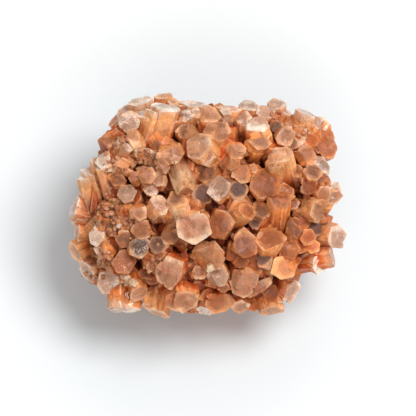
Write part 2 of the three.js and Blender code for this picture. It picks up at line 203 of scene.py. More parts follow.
middleFront = [
    (-3.2, -5.4, 8.6, 9.0, 30, 0.04, -0.05, 2.2, "halo"),
    (3.8, -4.8, 6.6, 6.4, 0, 0.06, 0, 0.9, "brown"),
    (-8.9, -7.1, 4.4, 5.0, 0, -0.1, 0.1, -0.8, "mauve+brown"),
    (-11.5, -9.5, 4.0, 3.6, 0, -0.1, -0.1, -0.8, "grey"),
    (0.4, -11.5, 7.8, 6.2, -5, 0, 0.08, 1, "cream+peach"),
    (9.0, -9.3, 5.8, 6.6, 20, 0.05, 0, 0.6, "brown"),
    (8.2, -13.8, 3.2, 2.8, 0, 0, -0.1, -1, "brown"),
    (13.4, -12.6, 4.0, 5.2, 0, 0, 0, -1.6, "dusk"),
    (18.2, -15.2, 5.4, 5.8, 15, 0.1, -0.12, 0.8, "amber"),
    (20.7, -16.3, 3.0, 3.6, 0, 0.38, -0.3, 0, "peach"),
]
lowerBand = [
    (-19.4, -13.6, 5.6, 5.6, 0, -0.05, -0.05, 0.9, "shiny"),
    (-28.7, -16.2, 5.6, 5.8, 0, -0.6, -0.4, 0.3, "frost+rough"),
    (-23.1, -18.7, 5.8, 5.6, 10, 0, -0.45, 3.6, "frost+cream"),
    (-16.3, -21.4, 4.8, 5.0, 20, 0.05, -0.88, 2.6, "pink+peach"),
    (-19.9, -25.2, 6.8, 6.0, 0, -0.05, -0.99, 1.2, "white+peach"),
    (-11.7, -26.0, 6.2, 6.0, 0, 0, -0.99, 1.4, "cream+glow"),
    (-9.0, -16.3, 6.4, 7.0, -15, -0.35, -0.35, 1.8, "blush+fire"),
    (-4.8, -23.1, 6.6, 6.6, 15, -0.02, -0.6, 3.8, "pink+fire"),
    (-9.6, -21.8, 3.2, 3.0, 0, 0, -0.2, -1, "mauve"),
    (2.4, -17.3, 5.2, 5.6, 0, 0.05, -0.12, 0.3, "frost+cream"),
    (-1.9, -16.2, 3.0, 3.0, 0, 0, -0.1, -1.6, "pink"),
    (8.8, -17.8, 6.4, 6.8, 25, 0.05, -0.15, 0.7, "blush+peach"),
    (2.8, -23.6, 6.6, 5.2, 0, 0.05, -0.45, 0.4, "peach+orange"),
    (-0.6, -25.4, 3.8, 3.6, 0, 0, -0.8, 0, "white+cream"),
    (7.9, -24.4, 4.2, 4.2, 20, 0.1, -0.7, 0.2, "pink+peach"),
    (12.5, -19.8, 2.4, 6.4, -55, 0, -0.2, -0.8, "rough+frost"),
    (15.2, -21.1, 3.6, 3.6, 0, 0.1, -0.2, -0.2, "brown"),
    (20.4, -20.8, 5.4, 5.6, 0, 0.62, -0.5, 0.8, "frost+orange"),
    (15.5, -25.5, 5.8, 5.2, 15, 0.25, -0.85, 0.8, "cream+peach"),
    (27.1, -14.8, 3.8, 3.8, 0, 0.7, -0.3, 1.4, "white+cream"),
    (-14.6, -16.6, 3.4, 3.4, 0, -0.1, -0.1, -1.8, "brown"),
    (-12.8, -13.2, 3.2, 3.2, 20, -0.1, -0.1, -1, "brown"),
]
# Small ones between them
between = [
    (-2.5, 22.1, 2.2, 2.6, 0, 0.05, 0.8, 0.3, "frost"),
    (18.9, 22.2, 2.4, 3.0, 20, 0.3, 0.8, 0, "frost"),
    (16.3, 18.6, 2.6, 2.6, 0, 0.1, 0.3, -0.8, "grey"),
    (21.9, 16.8, 2.6, 2.6, 0, 0.3, 0.4, -0.2, "orange"),
    (10.8, 8.5, 2.2, 2.2, 0, 0, 0.2, 0, "pink"),
    (5.0, 5.8, 2.2, 2.4, 0, 0, 0.1, -0.5, "mauve"),
    (11.3, -4.2, 2.4, 3.0, 0, 0, 0, -1.5, "grey"),
    (25.4, -10.0, 2.8, 2.8, 20, 0.3, -0.1, -0.6, "orange"),
    (-15.6, 11.8, 2.8, 2.6, 0, -0.1, 0.2, -0.3, "rough"),
    (-19.5, 14.0, 2.6, 3.2, 20, -0.2, 0.5, 0, "rough+brown"),
    (-4.6, 9.0, 2.6, 2.6, 20, 0, 0.1, -0.6, "orange"),
    (-5.0, 1.8, 2.8, 2.6, 0, 0, 0, -0.6, "orange"),
    (-1.8, -0.1, 2.6, 2.4, 0, 0, 0, -1.6, "brown"),
    (1.5, -0.9, 3.4, 3.2, 10, 0, 0, -3.4, "dusk"),
    (-24.6, -0.2, 2.8, 2.8, 0, -0.3, 0, -0.4, "brown"),
    (-28.3, -11.6, 2.8, 3.2, 0, -0.5, 0, -0.5, "frost"),
    (-19.6, -4.4, 2.8, 2.8, 0, -0.1, 0, -0.4, "brown"),
    (-25.0, -14.2, 2.8, 2.8, 0, -0.4, -0.2, -0.4, "frost"),
    (4.1, -20.0, 2.6, 2.2, 0, 0, -0.2, -0.2, "mauve"),
    (10.8, -24.0, 3.0, 3.0, 0, 0.1, -0.5, -0.6, "orange"),
    (19.6, 20.4, 4.0, 4.0, 0, 0.3, 0.5, -0.3, "cream+brown"),
    (8.4, 20.8, 3.6, 3.2, 0, 0, 0.55, 0.3, "blush"),
    (-19.4, 22.2, 4.4, 4.4, 20, -0.5, 0.72, 0.5, "frost+glow"),
    (-26.4, 10.2, 2.2, 4.0, 10, -0.1, 0.95, 1.0, "frost+pink"),
]

# The sides and the back: even directions, each one nudged
allRoundRule = {
    "directions": 126,
    "sideLimit": -0.05,
    "restLimit": 0.975,
    "width": (4.4, 7.6),
    "rise": (-2.2, -0.2),
    "lean": 0.26,
    "restZone": 0.72,
    "restSink": 2,
    "leftOut": (1066, 1074, 1075, 1076, 1087),  # these would stand out past the outline
    "finishes": (
        "peach", "mauve+glow", "orange", "pink", "peach", "brown", "cream+glow", "orange", "frost", "fire",
    ),
}
# Lower crystals in the gaps, over the whole ball
fillRule = {
    "directions": 290,
    "length": 6,
    "leftOut": (3061, 3129, 3131, 3144, 3155, 3184),  # these would show too much
    "restLimit": 0.9,
    "width": (3.6, 6.4),
    "rise": (-3.9, -1.3),
    "lean": 0.6,
    "finishes": (
        "orange", "brown", "fire", "peach+glow", "orange+glow", "fire", "peach", "orange", "brown", "amber",
    ),
}
# Broken zones of the best side, where small crystals stand every way: x, y, radius, how many
brokenZones = [
    (-22.5, 10.0, 3.6, 10),
    (-22.0, -3.4, 5.2, 16),
    (-24.6, -12.4, 3.0, 6),
    (-14.0, 11.0, 3.8, 8),
    (-12.6, -14.2, 2.8, 5),
    (-20.5, 15.6, 2.4, 5),
    (16.8, 21.2, 2.2, 4),
    (22.4, 17.6, 2.6, 6),
    (-27.4, -16.2, 2.4, 5),
]
brokenRule = {
    "width": (1.8, 3.8),
    "rise": (-2.5, -0.1),
    "lean": 0.9,
    "length": 3.4,
    "finishes": ("rough", "frost", "pink", "peach", "brown", "rough", "blush", "orange"),
}
# Deep gaps in the best side: x, y, radius
hollows = [
    (0.7, -0.6, 3.4),
    (22.6, 2.2, 2.6),
    (25.6, 1.0, 2.4),
    (-18.5, 11.2, 3.0),
    (13.9, 11.2, 3.0),
    (-22.8, -3.0, 2.2),
    (-24.5, -10.4, 1.6),
    (6.0, -8.4, 2.2),
    (12.4, -5.6, 2.6),
    (-6.5, -12.0, 3.0),
    (5.6, -14.6, 2.2),
    (25.7, -5.6, 1.6),
    (-6.6, 7.6, 1.8),
    (9.4, 9.4, 2.0),
    (4.0, 0.2, 1.8),
    (17.2, 7.4, 2.0),
    (-14.6, -14.4, 2.6),
    (19.2, 18.6, 2.0),
    (11.6, -10.8, 1.6),
    (-12.0, -4.2, 1.4),
    (-12.5, -6.9, 2.0),
    (-22.6, 2.8, 1.8),
    (-18.8, 7.6, 2.4),
    (16.8, 18.0, 2.0),
    (-16.4, 12.8, 2.0),
    (-13.4, -11.6, 2.6),
    (16.2, -18.6, 2.4),
]
# Crystals that point straight down and end flush on the floor: x, y, width, spin
feet = [
    (0, 0, 7.6, 0),
    (8.2, 3.4, 6.6, 20),
    (-7.4, 4.6, 6.8, 40),
    (1.2, 8.6, 6.0, 10),
    (5.4, -6.8, 6.4, 50),
    (-4.8, -7.4, 7.0, 5),
    (-12.6, -2.2, 5.4, 30),
    (13.4, -2.6, 5.6, 15),
]

# A smaller crystal grown against the flank of a large one
twinRule = {
    "share": 0.6,  # of the large crystals that have one
    "size": (0.5, 0.78),
    "away": (0.24, 0.42),  # of the width
    "lower": (0.35, 1.7),  # millimetres
    "lean": 0.26,
    "inward": 0.6,  # at 0 all lean away, at 1 half of them lean in
    "turn": 20,  # degrees, at most
}

# How a single crystal is worn and stepped, in shares of its radius where not said
wear = {
    "cornerCut": (0.02, 0.12),  # of the side next to it
    "rimCut": (0.025, 0.08),
    "sideWave": 0.05,
    "bendChance": 0.5,
    "notchChance": 0.17,
    "notchPlace": (0.3, 0.7),  # along the side
    "notchReach": 0.12,  # of the side, each way
    "notchDepth": (0.08, 0.2),
    "ledgeDepth": (1.0, 3.6),  # millimetres under the cap
    "ledge": (0.0, 0.05),
    "ledgeSlope": 0.2,  # millimetres
    "ringStray": 0.02,
    "chip": (0.25, 2.2),  # wear of the rim at its least, and how much more it is at some corners
    "cornerMark": 0.2,  # how much of the painted pale rim, wear and highlight, and of the coat a cut corner gets beside the rim
    "capCrown": 0.12,  # millimetres
    "capTilt": 0.2,
    "breaks": 3,  # slanting breaks across the cap, at most
    "breakChance": 0.6,
    "breakSlope": (26, 62),  # degrees
    "wholeFrom": 0.92,  # crystals this far out keep their caps
    "breakAway": (0.2, 0.8),
}

goldenTurn = math.pi * (3 - math.sqrt(5))  # spreads directions evenly
leanTurn = Matrix.Rotation(math.radians(cluster["leanBack"]), 4, "X")
toWorld = (
    Matrix.Scale(millimetre, 4)
    @ Matrix.Translation((-cluster["middle"][0], -cluster["middle"][1], cluster["restHeight"]))
    @ leanTurn
)
fromWorld = toWorld.inverted()


def chance(number, use):  # a fixed number from 0 to 1 for one crystal and one use of it
    value = math.sin(number * 12.9898 + use * 78.233) * 43758.5453
    return value - math.floor(value)


def spread(number, use):  # the same, from -1 to 1
    return 2 * chance(number, use) - 1


def within(limits, share):
    return limits[0] + (limits[1] - limits[0]) * share


def unit(value):  # kept between 0 and 1
    return min(max(value, 0), 1)


def outwardness(x, y):
    power = cluster["outlineSquareness"]
    halfWidth, halfHeight, _ = cluster["halfSize"]
    return (abs(x / halfWidth) ** power + abs(y / halfHeight) ** power) ** (1 / power)


def fullness(point):  # 1 on the surface that the caps reach, 0 at the centre
    power = cluster["profileFullness"]
    depth = cluster["halfSize"][2] if point.z > 0 else cluster["backDepth"]
    return (outwardness(point.x, point.y) ** power + abs(point.z / depth) ** power) ** (1 / power)


def surfaceHeight(x, y):
    power = cluster["profileFullness"]
    left = max(1 - outwardness(x, y) ** power, cluster["rimHeight"])
    return cluster["halfSize"][2] * left ** (1 / power)


def linearColour(colour):
    return tuple((c / 255 / 12.92 if c < 11 else ((c / 255 + 0.055) / 1.055) ** 2.4) for c in colour) + (1.0,)


def capCorners(width, height, spin, number):
    corners = []
    turn = Matrix.Rotation(math.radians(spin), 2)
    large = unit((width + height - cluster["smallCap"]) / cluster["capRange"])
    full = within(cluster["capFullness"], large)
    for side in range(6):
        radius = 0.5 * full * (1 + cluster["cornerWander"] * spread(number, side))
        angle = math.radians(side * 60) + cluster["cornerTurn"] * spread(number, side + 6)
        corners.append(turn @ Vector((width * radius * math.cos(angle), height * radius * math.sin(angle))))
    return corners


def wornOutline(corners, number):
    # Each corner cut off, some sides bent or notched; True marks the narrow faces of the cut corners
    outline = []
    for side in range(6):
        here, before, after = corners[side], corners[side - 1], corners[(side + 1) % 6]
        cut = within(wear["cornerCut"], chance(number, 40 + side))
        outline.append((here.lerp(before, cut), True))
        outline.append((here.lerp(after, cut), False))
        if chance(number, 50 + side) < wear["notchChance"]:
            place = within(wear["notchPlace"], chance(number, 56 + side))
            depth = within(wear["notchDepth"], chance(number, 62 + side))
            outline.append((here.lerp(after, place - wear["notchReach"]), False))
            outline.append((here.lerp(after, place) * (1 - depth), False))
            outline.append((here.lerp(after, place + wear["notchReach"]), False))
        elif chance(number, 68 + side) < wear["bendChance"]:
            bend = 1 + wear["sideWave"] * spread(number, 74 + side)
            outline.append((here.lerp(after, 0.5) * bend, False))
    return outline


def crystalBasis(axis):
    across = (Vector((1, 0, 0)) - axis * axis.x).normalized()
    return Matrix((across, axis.cross(across), axis)).transposed()


def addCrystal(collection, tip, axis, width, height, spin, number, finish, length=None, flush=False):
    outline = wornOutline(capCorners(width, height, spin, number), number)
    radius = 0.25 * (width + height)
    rim = within(wear["rimCut"], chance(number, 80))
    ledgeDepth = within(wear["ledgeDepth"], chance(number, 81))
    ledge = within(wear["ledge"], chance(number, 82))
    uneven = 0 if flush else 1
    tilt = Vector((chance(number, 85) - 0.5, chance(number, 86) - 0.5)) * 2 * wear["capTilt"] * uneven
    rings = [  # how far under the cap, share of the outline
        (length or cluster["crystalLength"], 1 + ledge),
        (ledgeDepth + wear["ledgeSlope"], 1 + ledge),
        (ledgeDepth, 1.0),
        (rim * radius, 1.0),
        (0, 1 - rim),
    ]
    rimRing, capRing = 3, 4
    basis = crystalBasis(axis)
    count = len(outline)
    verts, faces, edgeMarks = [], [], []
    for ring, (depth, share) in enumerate(rings):
        for spot, (point, _) in enumerate(outline):
            shift = 1 + (wear["ringStray"] * spread(number, 90 + ring * 31 + spot) if ring != rimRing else 0)
            chip = wear["chip"][0] + wear["chip"][1] * chance(number, 300 + spot) ** 2
            deep = depth * chip if ring == rimRing else depth
            place = point * (1 - rim * chip if ring == capRing else share) * shift
            lift = place.dot(tilt) if ring >= rimRing else 0
            verts.append(tip + basis @ Vector((place.x, place.y, lift - deep)))
        if ring:
            low = (ring - 1) * count
            for spot, (_, cutCorner) in enumerate(outline):
                following = (spot + 1) % count
                faces.append((low + spot, low + following, low + count + following, low + count + spot))
                edgeMarks.append(1.0 if ring == capRing else wear["cornerMark"] if cutCorner else 0.0)
    verts.append(tip + axis * (wear["capCrown"] * (chance(number, 87) - 0.5) * uneven))
    last = capRing * count
    for spot in range(count):
        faces.append((last + spot, last + (spot + 1) % count, len(verts) - 1))
        edgeMarks.append(0.0)
    faces.append(tuple(reversed(range(count))))
    edgeMarks.append(0.0)
    mesh = bpy.data.meshes.new("crystal")
    mesh.from_pydata(verts, [], faces)
    mesh.attributes.new("edgeMark", "FLOAT", "FACE").data.foreach_set("value", edgeMarks)
    bm = bmesh.new()
    bm.from_mesh(mesh)
    if not flush and outwardness(tip.x, tip.y) < wear["wholeFrom"]:
        breakCap(bm, tip, basis, radius, number)
    bm.transform(toWorld)
    bm.to_mesh(mesh)
    bm.free()
    capFinish, sideFinish = finish.split("+")[0], finish.split("+")[-1]
    markFaces(mesh, {
        "capCentre": toWorld @ tip,
        "axisDir": (leanTurn.to_3x3() @ axis).normalized(),
        "capSize": radius * millimetre,
    } | finishMarks(finishes[capFinish], finishes[sideFinish]) | {"luck": chance(number, 88)})
    collection.objects.link(bpy.data.objects.new("crystal", mesh))


def breakCap(bm, tip, basis, radius, number):
    # Slanting breaks that take a piece off the cap
    for spot in range(wear["breaks"]):
        if chance(number, 110 + spot) > wear["breakChance"]:
            continue
        angle = 2 * math.pi * chance(number, 114 + spot)
        slope = math.radians(within(wear["breakSlope"], chance(number, 118 + spot)))
        away = within(wear["breakAway"], chance(number, 122 + spot)) * radius
        outward = basis @ Vector((math.cos(angle), math.sin(angle), 0))
        bmesh.ops.bisect_plane(
            bm, geom=bm.verts[:] + bm.edges[:] + bm.faces[:], plane_co=tip + outward * away,
            plane_no=basis.col[2] * math.cos(slope) + outward * math.sin(slope), clear_outer=True)
        bmesh.ops.holes_fill(bm, edges=[edge for edge in bm.edges if edge.is_boundary])
    bmesh.ops.recalc_face_normals(bm, faces=bm.faces[:])


def markFaces(mesh, values):
    count = len(mesh.polygons)
    for name, value in values.items():
        if isinstance(value, float):
            kind, field, single = "FLOAT", "value", [value]
        elif len(value) == 4:
            kind, field, single = "FLOAT_COLOR", "color", list(value)
        else:
            kind, field, single = "FLOAT_VECTOR", "vector", list(value)
        mesh.attributes.new(name, kind, "FACE").data.foreach_set(field, single * count)


def finishMarks(cap, side):
    return {
        "middleTone": linearColour(cap["middle"]),
        "rimTone": linearColour(cap["rim"]),
        "sideTone": linearColour(side["side"]),
        "frostAndHighlight": cap["frost"],
    }


def straying(number):
    return Vector((chance(number, 21), chance(number, 22), chance(number, 23))) - Vector((0.5, 0.5, 0.5))


def pickFinish(rule, number):
    return rule["finishes"][int(chance(number, 27) * len(rule["finishes"]))]


def addWithTwin(collection, tip, axis, width, height, spin, number, finish):
    addCrystal(collection, tip, axis, width, height, spin, number, finish)
    if chance(number, 101) > twinRule["share"]:
        return
    angle = 2 * math.pi * chance(number, 102)
    away = within(twinRule["away"], chance(number, 103)) * (width + height) / 2
    shift = crystalBasis(axis) @ Vector((math.cos(angle) * away, math.sin(angle) * away, 0))
    lower = within(twinRule["lower"], chance(number, 104))
    size = within(twinRule["size"], chance(number, 105))
    outward = 2 * chance(number, 106) - twinRule["inward"]
    twinAxis = (axis + shift.normalized() * twinRule["lean"] * outward).normalized()
    twinSpin = spin + twinRule["turn"] * chance(number, 107)
    addCrystal(collection, tip + shift - axis * lower, twinAxis, width * size, height * size, twinSpin,
               5000 + number, finish)


def growBestSide(collection):
    rows = topEdge + upperBand + middleRight + middleLeft + middleFront + lowerBand
    numbered = list(enumerate(rows)) + list(enumerate(between, start=500))
    for number, (x, y, width, height, spin, leanX, leanY, rise, finish) in numbered:
        axis = Vector((leanX, leanY, math.sqrt(1 - leanX ** 2 - leanY ** 2)))
        stray = Vector((spread(number, 28), spread(number, 29), 0))
        axis = (axis + stray * cluster["extraLean"]).normalized()
        tip = Vector((x, y, surfaceHeight(x, y) + rise))
        addWithTwin(collection, tip, axis, width, height, spin, number, finish)


def growByRule(collection, rule, firstNumber, onlySides):
    down = leanTurn.to_3x3().transposed() @ Vector((0, 0, -1))
    halfSize = Vector(cluster["halfSize"])
    for index in range(rule["directions"]):
        out = 1 - (2 * index + 1) / rule["directions"]
        ring = math.sqrt(1 - out ** 2)
        turn = index * goldenTurn
        direction = Vector((ring * math.cos(turn), ring * math.sin(turn), out))
        number = firstNumber + index
        towardsRest = direction.dot(down)
        if towardsRest >= rule["restLimit"] or number in rule["leftOut"]:
            continue
        if onlySides and out >= rule["sideLimit"]:
            continue
        sink = rule["restSink"] if onlySides and towardsRest > rule["restZone"] else 0
        rise = within(rule["rise"], chance(number, 20)) - sink
        tip = direction * (1 / fullness(direction) + rise)
        axis = Vector((tip.x / halfSize.x, tip.y / halfSize.y, tip.z / halfSize.z)).normalized()
        axis = (axis + straying(number) * 2 * rule["lean"]).normalized()
        width = within(rule["width"], chance(number, 24))
        height = width * (0.86 + 0.28 * chance(number, 25))
        finish = pickFinish(rule, number)
        spin = 60 * chance(number, 26)
        if onlySides:
            addWithTwin(collection, tip, axis, width, height, spin, number, finish)
        elif not inHollow(tip):
            addCrystal(collection, tip, axis, width, height, spin, number, finish, length=rule["length"])


def inHollow(tip):
    return any(math.hypot(tip.x - x, tip.y - y) < radius and tip.z > 0 for x, y, radius in hollows)


def growBrokenZones(collection):
    rule = brokenRule
    for zone, (x, y, radius, count) in enumerate(brokenZones):
        for index in range(count):
            number = 7000 + 100 * zone + index
            away = radius * math.sqrt((index + 0.5) / count)
            turn = index * goldenTurn + zone
            tipX, tipY = x + away * math.cos(turn), y + away * math.sin(turn)
            rise = within(rule["rise"], chance(number, 20))
            tip = Vector((tipX, tipY, surfaceHeight(tipX, tipY) + rise))
            axis = (tip.normalized() + straying(number) * 2 * rule["lean"]).normalized()
            width = within(rule["width"], chance(number, 24) ** 1.5)
            height = width * (0.8 + 0.5 * chance(number, 25))
            spin = 60 * chance(number, 26)
            finish = pickFinish(rule, number)
            addCrystal(collection, tip, axis, width, height, spin, number, finish, length=rule["length"])


def growFeet(collection):
    standUp = leanTurn.to_3x3().transposed()
    down = standUp @ Vector((0, 0, -1))
    for index, (x, y, width, spin) in enumerate(feet):
        tip = standUp @ Vector((x, y, -cluster["restHeight"]))
        addCrystal(collection, tip, down, width, width, spin, 2000 + index, "brown", flush=True)


def makeRoot():
    bm = bmesh.new()
    bmesh.ops.create_icosphere(bm, subdivisions=5, radius=1)
    for vert in bm.verts:
        place = Vector(a * b for a, b in zip(vert.co, cluster["halfSize"])) * cluster["rootShare"]
        place += vert.co * cluster["rootLumps"] * noise.noise(place * cluster["rootLumpScale"])
        if place.z > 0:
            for x, y, radius in hollows:
                away = math.hypot(place.x - x, place.y - y) / radius
                place.z -= cluster["hollowDepth"] * unit(1.6 - away)
        vert.co = toWorld @ place
    mesh = bpy.data.meshes.new("root")
    bm.to_mesh(mesh)
    bm.free()
    markFaces(mesh, {
        "capCentre": Vector((0, 0, 0)),
        "axisDir": Vector((0, 0, 0)),
        "capSize": 3 * millimetre,
    } | finishMarks(rootFinish, rootFinish) | {"edgeMark": 0.0, "luck": 0.5})
    return bpy.data.objects.new("clusterRoot", mesh)


def triangleCount(mesh):
    return sum(len(face.vertices) - 2 for face in mesh.polygons)


def uniteCrystals():
    scene = bpy.context.scene
    crystals = bpy.data.collections.new("crystals")
    scene.collection.children.link(crystals)
    growBestSide(crystals)
    growByRule(crystals, allRoundRule, 1000, onlySides=True)
    growByRule(crystals, fillRule, 3000, onlySides=False)
    growBrokenZones(crystals)
    growFeet(crystals)
    root = makeRoot()
    scene.collection.objects.link(root)
    union = root.modifiers.new("union", "BOOLEAN")
    union.operation = "UNION"
    union.operand_type = "COLLECTION"
    union.collection = crystals
    union.solver = "MANIFOLD"
    mesh = bpy.data.meshes.new_from_object(root.evaluated_get(bpy.context.evaluated_depsgraph_get()))
    for grown in list(crystals.objects):
        bpy.data.meshes.remove(grown.data)
    bpy.data.collections.remove(crystals)
    bpy.data.objects.remove(root)
    print("united:", len(mesh.polygons), "faces", triangleCount(mesh), "triangles")
    return mesh


# How uneven the faces are, in millimetres, but scales and lumps to a millimetre
relief = {
    "cuts": 3,  # rounds in which long edges are halved
    "edge": 1.5,
    "unevenness": 0.09,
    "unevenScale": 0.8,
    "crustEdge": 0.9,
    "lumps": 0.9,
    "crustDepth": 0.55,
}


def roughen(mesh):
    # Long edges are cut and every point moves a little; where the growth is broken it moves a lot
    bm = bmesh.new()
    bm.from_mesh(mesh)
    layer = bm.verts.layers.float["crust"]
    broken = [face for face in bm.faces if len(face.verts) > 4 or any(v[layer] > 0.1 for v in face.verts)]
    bmesh.ops.triangulate(bm, faces=broken)
    for _ in range(relief["cuts"]):
        edges = []
        for edge in bm.edges:
            crusted = edge.verts[0][layer] + edge.verts[1][layer] > 0.3
            if edge.calc_length() > relief["crustEdge" if crusted else "edge"] * millimetre:
                edges.append(edge)
        bmesh.ops.subdivide_edges(bm, edges=edges, cuts=1, use_grid_fill=False)
        bmesh.ops.triangulate(bm, faces=[face for face in bm.faces if len(face.verts) > 4])
    for vert in bm.verts:
        place = fromWorld @ vert.co
        push = relief["unevenness"] * noise.noise(place * relief["unevenScale"])
        if vert[layer] > 0.02:
            coarse = noise.noise(place * relief["lumps"])
            lumps = coarse + 0.6 * noise.noise(place * relief["lumps"] * 2.7)
            push += lumps * relief["crustDepth"] * min(vert[layer] * 1.5, 1)
        vert.co += vert.normal * push * millimetre * min(vert.co.z / (2 * millimetre), 1)
        vert.co.z = max(vert.co.z, 0)  # nothing reaches under the floor
    bm.to_mesh(mesh)
    bm.free()
    print("roughened:", triangleCount(mesh), "triangles")


# Where the small crystals sit; reaches are in shares of a zone's radius
areas = {
    "restHeight": 2,  # millimetres above the floor that get no painted shade, crust or tiny crystals
    "shadedDepthGain": 5.5,
    "upperShadeCut": 0.4,  # the upper band gets less painted shade
    "crustMost": 0.8,
    "drusyReach": 2.4,
    "backPatches": 0.09,  # to a millimetre
    "drusyPatches": 0.3,
}


def markDepths(mesh):
    # For each point: how deep it lies under the caps, which sets the painted shade in the gaps, how crusted
    # its area is, where tiny crystals sit
    marks = {"shelter": [], "crust": [], "drusy": []}
    for vert in mesh.vertices:
        place = fromWorld @ vert.co
        clear = unit(vert.co.z / millimetre - areas["restHeight"])
        upper = areas["upperShadeCut"] * unit((place.y - 6) / 6) * unit(place.z / 4)
        marks["shelter"].append(unit((1 - fullness(place)) * areas["shadedDepthGain"]) * clear * (1 - upper))
        strength, beside = 0.0, 1.0
        if place.z > 0:
            beside = 0.0
            for x, y, radius, _ in brokenZones:
                away = math.hypot(place.x - x, place.y - y) / radius
                strength = max(strength, areas["crustMost"] * unit(1.6 - 1.4 * away))
                beside = max(beside, unit(areas["drusyReach"] - away))
        else:
            strength = unit(2.2 * noise.noise(place * areas["backPatches"]) - 0.35)
        patch = noise.noise(place * areas["drusyPatches"] + Vector((9, 4, 2)))
        marks["crust"].append(strength * clear)
        marks["drusy"].append(unit(3 * patch - 0.7) * beside * clear)
    for name, values in marks.items():
        mesh.attributes.new(name, "FLOAT", "POINT").data.foreach_set("value", values)


# Node helpers: inputs may be sockets to join or plain values
def addNode(tree, kind, inputs=None, **settings):
    made = tree.nodes.new(kind)
    for name, value in settings.items():
        setattr(made, name, value)
    for name, value in (inputs or {}).items():
        socket = made.inputs[name]
        if isinstance(value, bpy.types.NodeSocket):
            tree.links.new(value, socket)
        else:
            socket.default_value = value
    return made


def maths(tree, operation, *values):
    return addNode(tree, "ShaderNodeMath", dict(enumerate(values)), operation=operation).outputs[0]


def vectorMaths(tree, operation, *values):
    made = addNode(tree, "ShaderNodeVectorMath", dict(enumerate(values)), operation=operation)
    return made.outputs["Value" if operation in ("DOT_PRODUCT", "LENGTH") else "Vector"]


def lengthened(tree, vector, factor):
    return addNode(tree, "ShaderNodeVectorMath", {0: vector, "Scale": factor}, operation="SCALE").outputs[0]


def ramp(tree, value, low, high):
    limits = {"Value": value, "From Min": low, "From Max": high}
    return addNode(tree, "ShaderNodeMapRange", limits, interpolation_type="SMOOTHSTEP").outputs["Result"]


def blendColour(tree, share, first, second):
    return addNode(tree, "ShaderNodeMix", {0: share, 6: first, 7: second}, data_type="RGBA").outputs[2]


def readAttribute(tree, name, output):
    return addNode(tree, "ShaderNodeAttribute", attribute_name=name).outputs[output]


def newGroup(name, kind, inputs, outputs):
    tree = bpy.data.node_groups.new(name, kind)
    for title, socketKind, *value in inputs:
        socket = tree.interface.new_socket(title, in_out="INPUT", socket_type="NodeSocket" + socketKind)
        if value:
            socket.default_value = value[0]
    for title, socketKind in outputs:
        tree.interface.new_socket(title, in_out="OUTPUT", socket_type="NodeSocket" + socketKind)
    return tree, tree.nodes.new("NodeGroupInput").outputs


def finishGroup(tree, values):
    result = tree.nodes.new("NodeGroupOutput")
    for name, value in values.items():
        tree.links.new(value, result.inputs[name])
    return tree


def makeCrystalPlaceGroup():
    # Where a point lies on its own crystal
    tree = newGroup("crystalPlace", "ShaderNodeTree", [], [
        ("Under Cap", "Float"),
        ("Cap Share", "Float"),
        ("On Cap", "Float"),
        ("Streak Place", "Vector"),
    ])[0]
    place = tree.nodes.new("ShaderNodeTexCoord").outputs["Object"]
    centre = readAttribute(tree, "capCentre", "Vector")
    axis = readAttribute(tree, "axisDir", "Vector")
    size = readAttribute(tree, "capSize", "Fac")
    away = vectorMaths(tree, "SUBTRACT", place, centre)
    along = vectorMaths(tree, "DOT_PRODUCT", away, axis)
    lengthwise = lengthened(tree, axis, along)
    crosswise = vectorMaths(tree, "SUBTRACT", away, lengthwise)
    normal = tree.nodes.new("ShaderNodeNewGeometry").outputs["True Normal"]
    facing = vectorMaths(tree, "DOT_PRODUCT", normal, axis)
    shrunk = lengthened(tree, lengthwise, 0.06)  # so that a pattern runs along the crystal
    return finishGroup(tree, {
        "Under Cap": maths(tree, "MULTIPLY", along, -1000.0),  # in millimetres
        "Cap Share": maths(tree, "DIVIDE", vectorMaths(tree, "LENGTH", crosswise), size),
        "On Cap": ramp(tree, facing, 0.5, 0.82),
        "Streak Place": vectorMaths(tree, "ADD", vectorMaths(tree, "ADD", crosswise, shrunk), centre),
    })


def makeGrainGroup():
    # Fine grain at three sizes, as a mask and as a height
    tree, given = newGroup("mineralGrain", "ShaderNodeTree", [
        ("Place", "Vector"),
        ("Scale", "Float", 1.0),
    ], [("Mask", "Float"), ("Height", "Float"), ("Broad", "Float")])
    sizes = []
    for scale, detail, roughness in ((520.0, 5.0, 0.62), (2600.0, 3.0, 0.6), (140.0, 2.0, 0.5)):
        sizes.append(addNode(tree, "ShaderNodeTexNoise", {
            "Vector": given["Place"], "Scale": maths(tree, "MULTIPLY", given["Scale"], scale),
            "Detail": detail, "Roughness": roughness}).outputs["Fac"])
    coarse, fine, broad = sizes
    halves = (maths(tree, "MULTIPLY", size, 0.5) for size in (coarse, fine))
    return finishGroup(tree, {
        "Mask": ramp(tree, coarse, 0.38, 0.64),
        "Height": maths(tree, "ADD", *halves),
        "Broad": broad,
    })


def makeFacetGroup():
    # Broken, flat facets of many tilts: their height in metres and a tone of their own
    tree, given = newGroup("brokenFacets", "ShaderNodeTree", [
        ("Place", "Vector"),
        ("Scale", "Float", 450.0),
        ("Tilt", "Float", 0.5),
    ], [("Height", "Float"), ("Tone", "Float")])
    cells = addNode(tree, "ShaderNodeTexVoronoi", {"Vector": given["Place"], "Scale": given["Scale"]})
    fromMiddle = vectorMaths(tree, "SUBTRACT", given["Place"], cells.outputs["Position"])
    slope = vectorMaths(tree, "SUBTRACT", cells.outputs["Color"], (0.5, 0.5, 0.5))
    rise = vectorMaths(tree, "DOT_PRODUCT", fromMiddle, slope)
    tone = addNode(tree, "ShaderNodeSeparateColor", {"Color": cells.outputs["Color"]})
    return finishGroup(tree, {
        "Height": maths(tree, "MULTIPLY", rise, given["Tilt"]),
        "Tone": tone.outputs["Green"],
    })


# A small crystal, its radius and length 1 before it is scaled
smallPrism = {
    "density": 4000000.0,  # points to a square metre before they are thinned by their spacing
    "taper": 0.94,
    "height": 1.3,
    "capRise": 0.08,
    "capShare": 0.8,
    "sunk": 0.38,
    "flatness": (0.75, 1.0),
}


